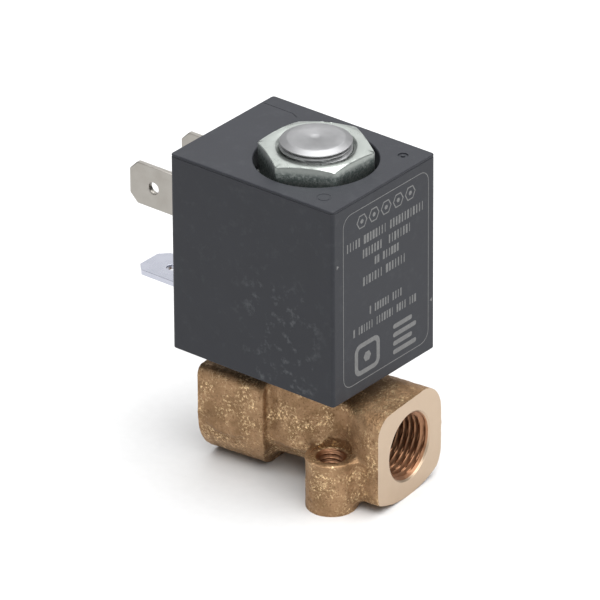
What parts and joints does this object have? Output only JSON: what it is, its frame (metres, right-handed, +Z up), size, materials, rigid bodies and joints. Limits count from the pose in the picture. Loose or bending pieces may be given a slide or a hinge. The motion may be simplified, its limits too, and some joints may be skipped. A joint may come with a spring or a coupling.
{
  "type": "solenoid valve",
  "caption": "Small direct-acting two-way solenoid valve: forged brass body with in-line threaded ports and a square plug-on coil held by a hex nut.",
  "frame": {"origin": "centre of the two-hole mounting pattern, where the guide tube axis meets the mounting plane under the body", "axes": "+Z up the guide tube, +X along the flow axis towards port A, +Y by the right-hand rule"},
  "size_m": [0.0446, 0.0242, 0.0503],
  "materials": {
    "forged_brass": "shot-blasted forging with machined port faces",
    "turned_brass": "turned",
    "stainless": "drawn and turned",
    "core_steel": "turned, fine concentric marks",
    "spring_steel": "drawn wire",
    "plated_steel": "zinc plated",
    "yoke_steel": "zinc plated strip",
    "tinned_tab": "dull tin plate",
    "plated_tab": "bright plate",
    "copper": "enamelled or bare copper",
    "coil_plastic": "fine moulded texture with a laser-marked panel",
    "bobbin_nylon": "moulded",
    "rubber": "smooth moulded"
  },
  "bodies": {
    "valve": {"valve_body": "forged_brass", "body_o_ring": "rubber", "tube_base": "turned_brass", "guide_tube": "stainless", "fixed_core": "core_steel", "shading_ring": "copper", "coil_gasket": "rubber", "lock_washer": "plated_steel", "coil_nut": "plated_steel"},
    "plunger": {"plunger": "stainless", "plunger_seal": "rubber", "return_spring": "spring_steel"},
    "coil": {"coil_housing": "coil_plastic", "bobbin": "bobbin_nylon", "winding": "copper", "yoke_bracket": "yoke_steel", "flux_bush": "yoke_steel", "terminal_left": "tinned_tab", "terminal_right": "tinned_tab", "earth_terminal": "plated_tab", "lead_wire_start": "copper", "lead_wire_finish": "copper", "screw_insert": "turned_brass"}
  },
  "joints": [
    {"name": "plunger_slide", "type": "slide", "parent": "valve", "child": "plunger", "axis": [0, 0, 1], "range_m": [0, 0.0012], "stiffness_N_per_m": 600, "springref_m": -0.0017, "deforming": ["return_spring"]},
    {"name": "coil_swivel", "type": "hinge", "parent": "valve", "child": "coil", "pos_m": [0, 0, 0.03], "axis": [0, 0, 1], "continuous": true}
  ]
}
